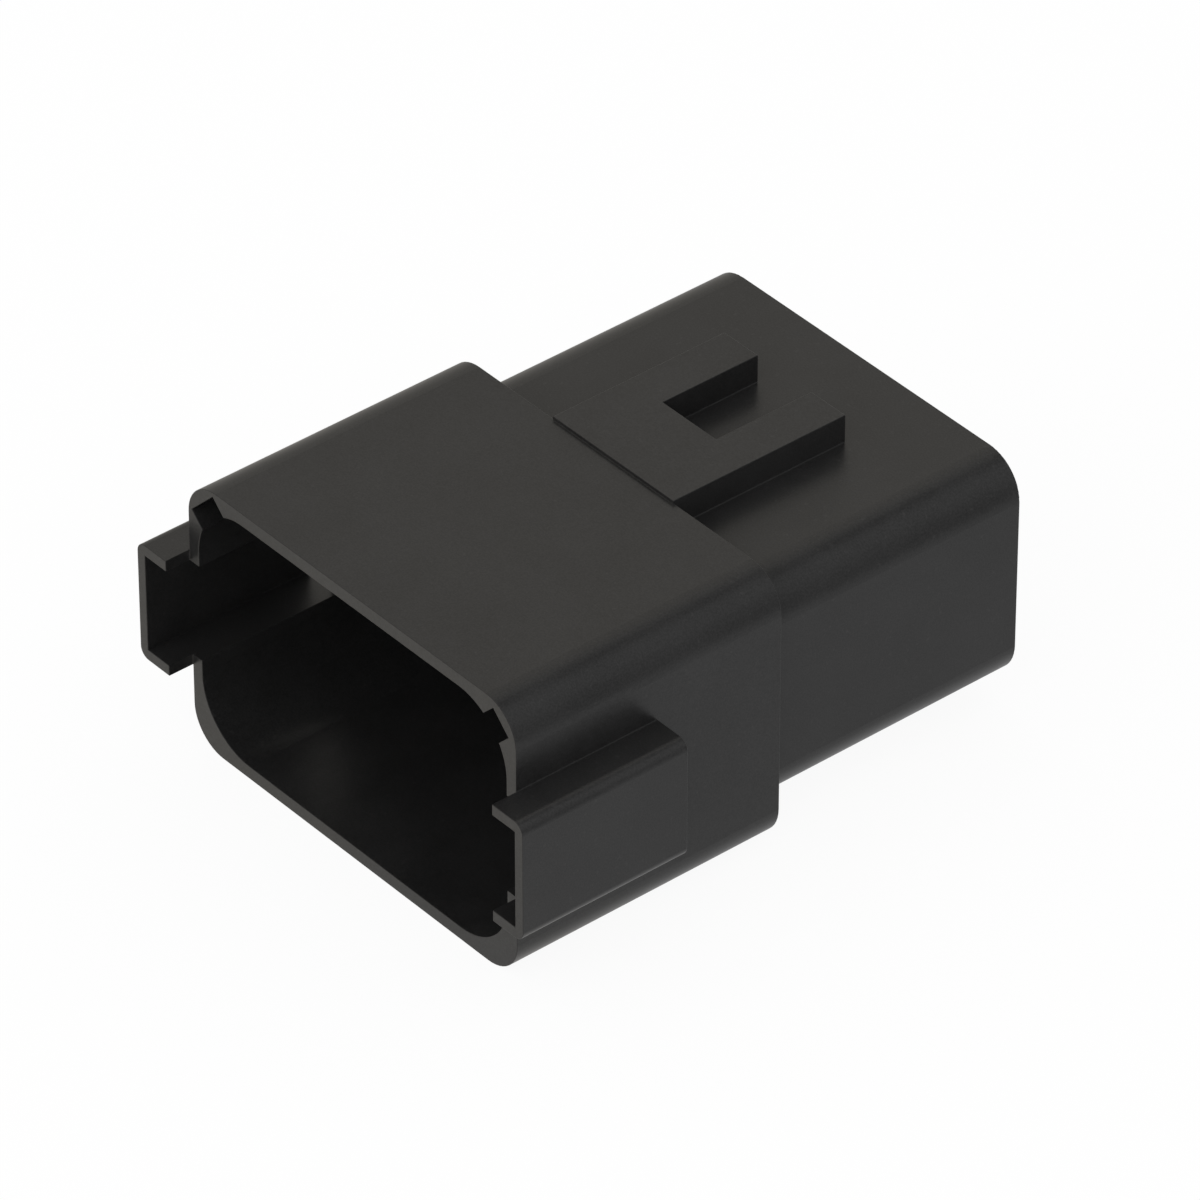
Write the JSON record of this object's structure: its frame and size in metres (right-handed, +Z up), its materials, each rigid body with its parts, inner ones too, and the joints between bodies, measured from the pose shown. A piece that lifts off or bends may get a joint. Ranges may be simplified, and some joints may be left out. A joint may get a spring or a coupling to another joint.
{
  "type": "receptacle connector housing",
  "caption": "Sealed rectangular connector receptacle housing with an open mating shroud, latch rails on both sides, keyed corners, a clip pad on top and a wire seal at the rear.",
  "frame": {"origin": "under the middle of the bounding box, on the plane of the front shell's underside", "axes": "+X along the long side of the mouth, +Y from the mouth to the wire side, +Z up through the clip pad"},
  "size_m": [0.0446, 0.0516, 0.0247],
  "materials": {
    "shell_plastic": "satin black glass-filled thermoplastic, as moulded",
    "seal_rubber": "matt dark grey silicone"
  },
  "bodies": {
    "root": {"housing": "shell_plastic", "wire_seal": "seal_rubber"}
  },
  "joints": []
}
